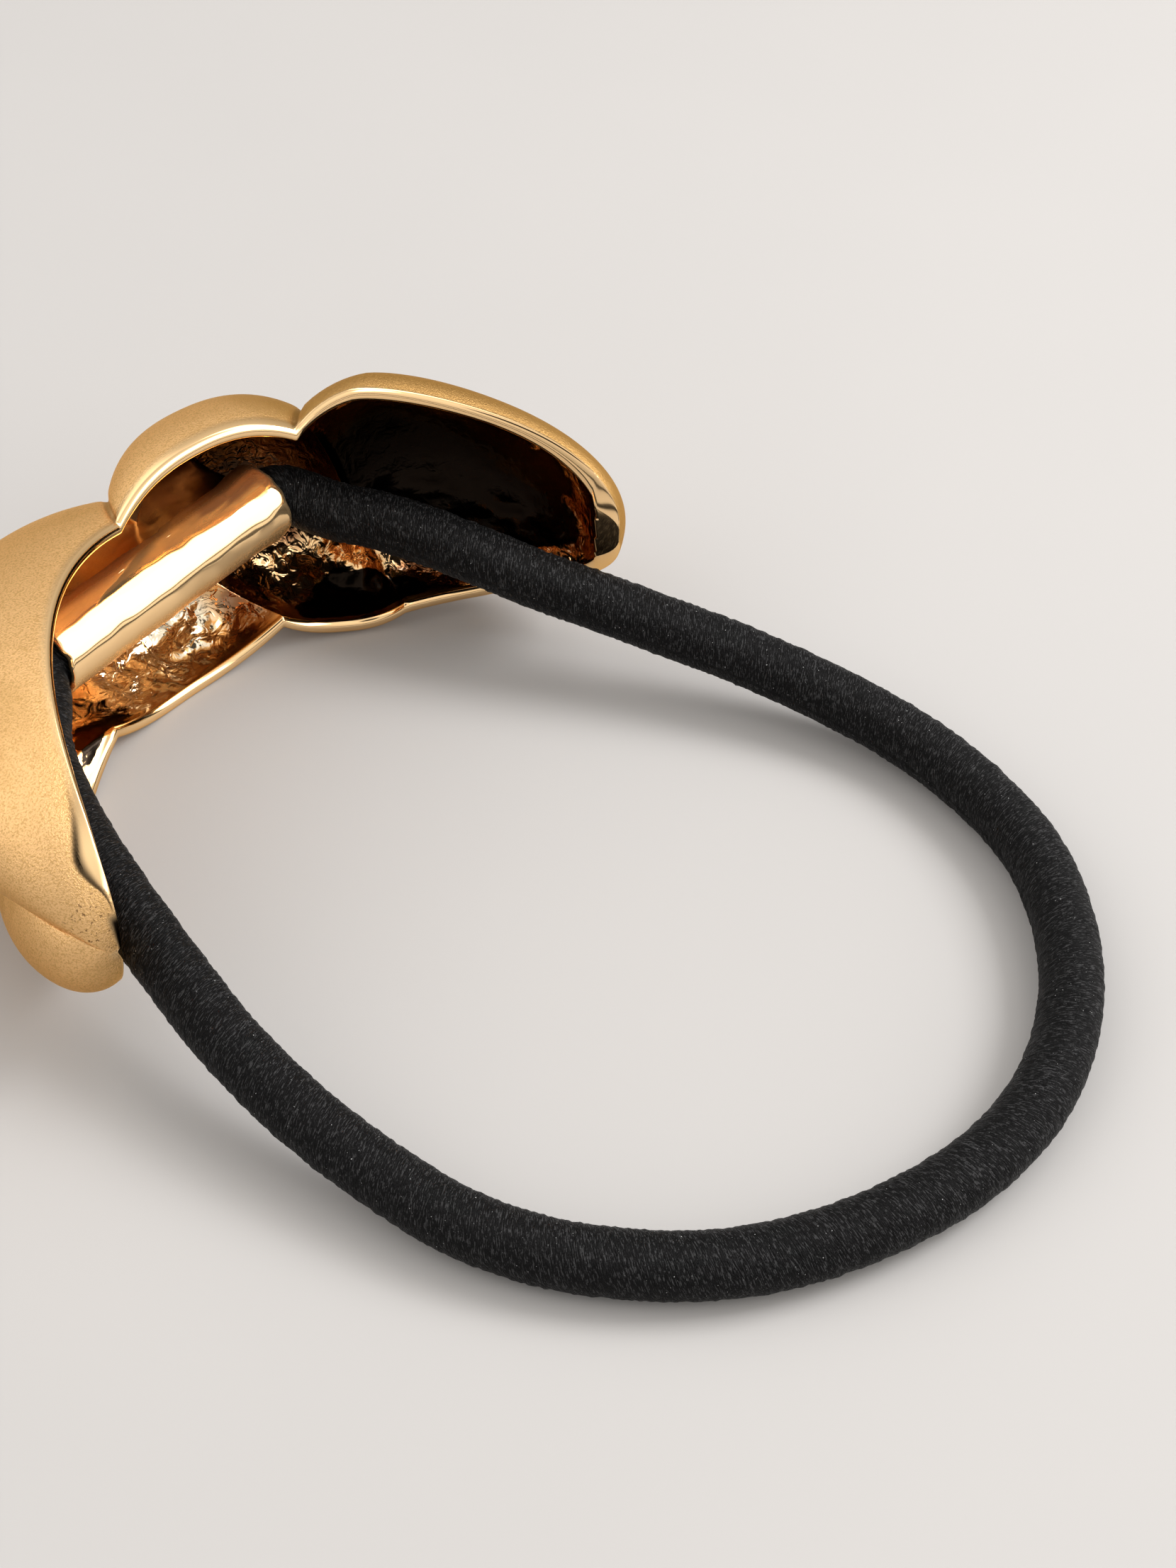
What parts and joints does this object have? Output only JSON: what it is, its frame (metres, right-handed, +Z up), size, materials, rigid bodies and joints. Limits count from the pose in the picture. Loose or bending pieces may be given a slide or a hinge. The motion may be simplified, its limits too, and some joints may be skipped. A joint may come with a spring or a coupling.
{
  "type": "hair bobble",
  "caption": "Hair bobble: a cast metal half cuff with twisted puffed lobes, hollow behind, holding a closed round elastic loop in a sleeve.",
  "frame": {"origin": "under the middle of the cuff, on the plane that the bobble lies on", "axes": "+X along the cuff, from one tip to the other, +Y from the cuff to the far end of the elastic loop, +Z up"},
  "size_m": [0.0541, 0.0761, 0.0199],
  "materials": {
    "gold_metal": "satin outside, polished rim and hollow",
    "black_elastic": "matte wound thread"
  },
  "bodies": {
    "root": {"cuff": "gold_metal", "elastic": "black_elastic"}
  },
  "joints": []
}
